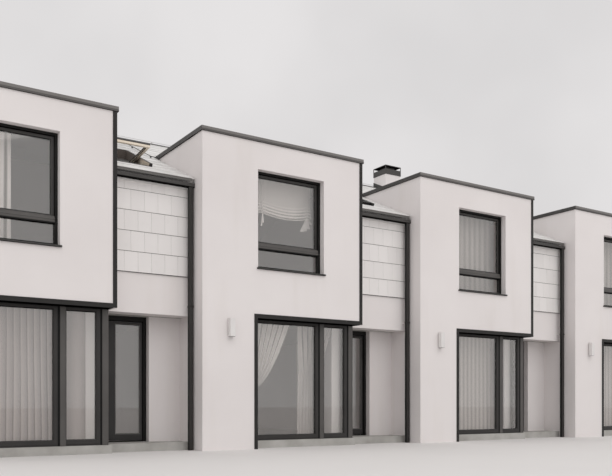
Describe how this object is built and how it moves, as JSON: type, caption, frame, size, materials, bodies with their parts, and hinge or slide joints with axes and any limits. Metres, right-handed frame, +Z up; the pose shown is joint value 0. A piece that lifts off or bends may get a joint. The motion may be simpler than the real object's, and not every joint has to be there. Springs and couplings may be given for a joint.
{
  "type": "terraced house row",
  "caption": "Row of white two-storey terraced houses, each a flat-roofed bay over recessed glazing beside a tile-clad entrance recess under a pitched roof.",
  "frame": {"origin": "on the ground, under the middle of the row, halfway between the bays' fronts and the garden wall's outer face", "axes": "+X along the row with the bays left of their recesses seen from the street, +Y from the street to the garden, +Z up"},
  "size_m": [21.325, 9.113, 7.5674],
  "materials": {
    "render": "fine white render",
    "concrete": "smooth concrete",
    "white_tile": "matte flat tiles",
    "roof_tile": "matte flat tiles",
    "roof_membrane": "sheet membrane",
    "dark_metal": "satin anthracite coating",
    "dark_frame": "satin anthracite coating",
    "white_metal": "satin white coating",
    "glass": "clear",
    "door_leaf": "satin anthracite paint",
    "brushed_steel": "brushed",
    "pine": "clear lacquer",
    "curtain": "sheer weave"
  },
  "bodies": {
    "row": {"ground_slabs": "concrete", "upper_floors": "concrete", "party_walls": "render", "bay_side_walls": "render", "bay_parapets": "render", "front_piers": "render", "bay_front_walls": "render", "porch_side_walls": "render", "porch_walls": "render", "recess_walls": "render", "garden_wall": "render", "chimney_stacks": "render", "recess_cladding": "white_tile", "bay_roofs": "roof_membrane", "front_roof_slope": "roof_tile", "garden_roof_slope": "roof_tile", "recess_roofs": "roof_tile", "ridge_cap": "roof_tile", "gutters": "dark_metal", "eaves_strips": "dark_metal", "downpipes": "dark_metal", "front_copings": "dark_metal", "side_copings": "dark_metal", "bay_edge_bands": "dark_metal", "window_sills": "dark_metal", "chimney_collars": "dark_metal", "chimney_caps": "dark_metal", "chimney_flashings": "dark_metal", "roof_window_covers": "dark_metal", "roof_window_flashings": "dark_metal", "lightning_conductors": "dark_metal", "roof_window_frames": "pine", "roof_window_sashes": "pine", "window_frames": "dark_frame", "glazing_frames": "dark_frame", "entrance_frames": "dark_frame", "window_panes": "glass", "glazing_panes": "glass", "roof_window_panes": "glass", "wall_lamps": "white_metal", "curtain_tracks": "white_metal", "lower_curtains": "curtain", "upper_curtains": "curtain"},
    "door_1": {"front_door_1": "door_leaf", "door_pane_1": "glass", "door_handle_1": "brushed_steel"},
    "door_2": {"front_door_2": "door_leaf", "door_pane_2": "glass", "door_handle_2": "brushed_steel"},
    "door_3": {"front_door_3": "door_leaf", "door_pane_3": "glass", "door_handle_3": "brushed_steel"},
    "door_4": {"front_door_4": "door_leaf", "door_pane_4": "glass", "door_handle_4": "brushed_steel"}
  },
  "joints": [
    {"name": "door_1_hinge", "type": "hinge", "parent": "row", "child": "door_1", "pos_m": [-6.095, -3.161, 1.3], "axis": [0, 0, -1], "range_deg": [0, 95]},
    {"name": "door_2_hinge", "type": "hinge", "parent": "row", "child": "door_2", "pos_m": [-0.845, -3.161, 1.3], "axis": [0, 0, -1], "range_deg": [0, 95]},
    {"name": "door_3_hinge", "type": "hinge", "parent": "row", "child": "door_3", "pos_m": [4.405, -3.161, 1.3], "axis": [0, 0, -1], "range_deg": [0, 95]},
    {"name": "door_4_hinge", "type": "hinge", "parent": "row", "child": "door_4", "pos_m": [9.655, -3.161, 1.3], "axis": [0, 0, -1], "range_deg": [0, 95]}
  ]
}
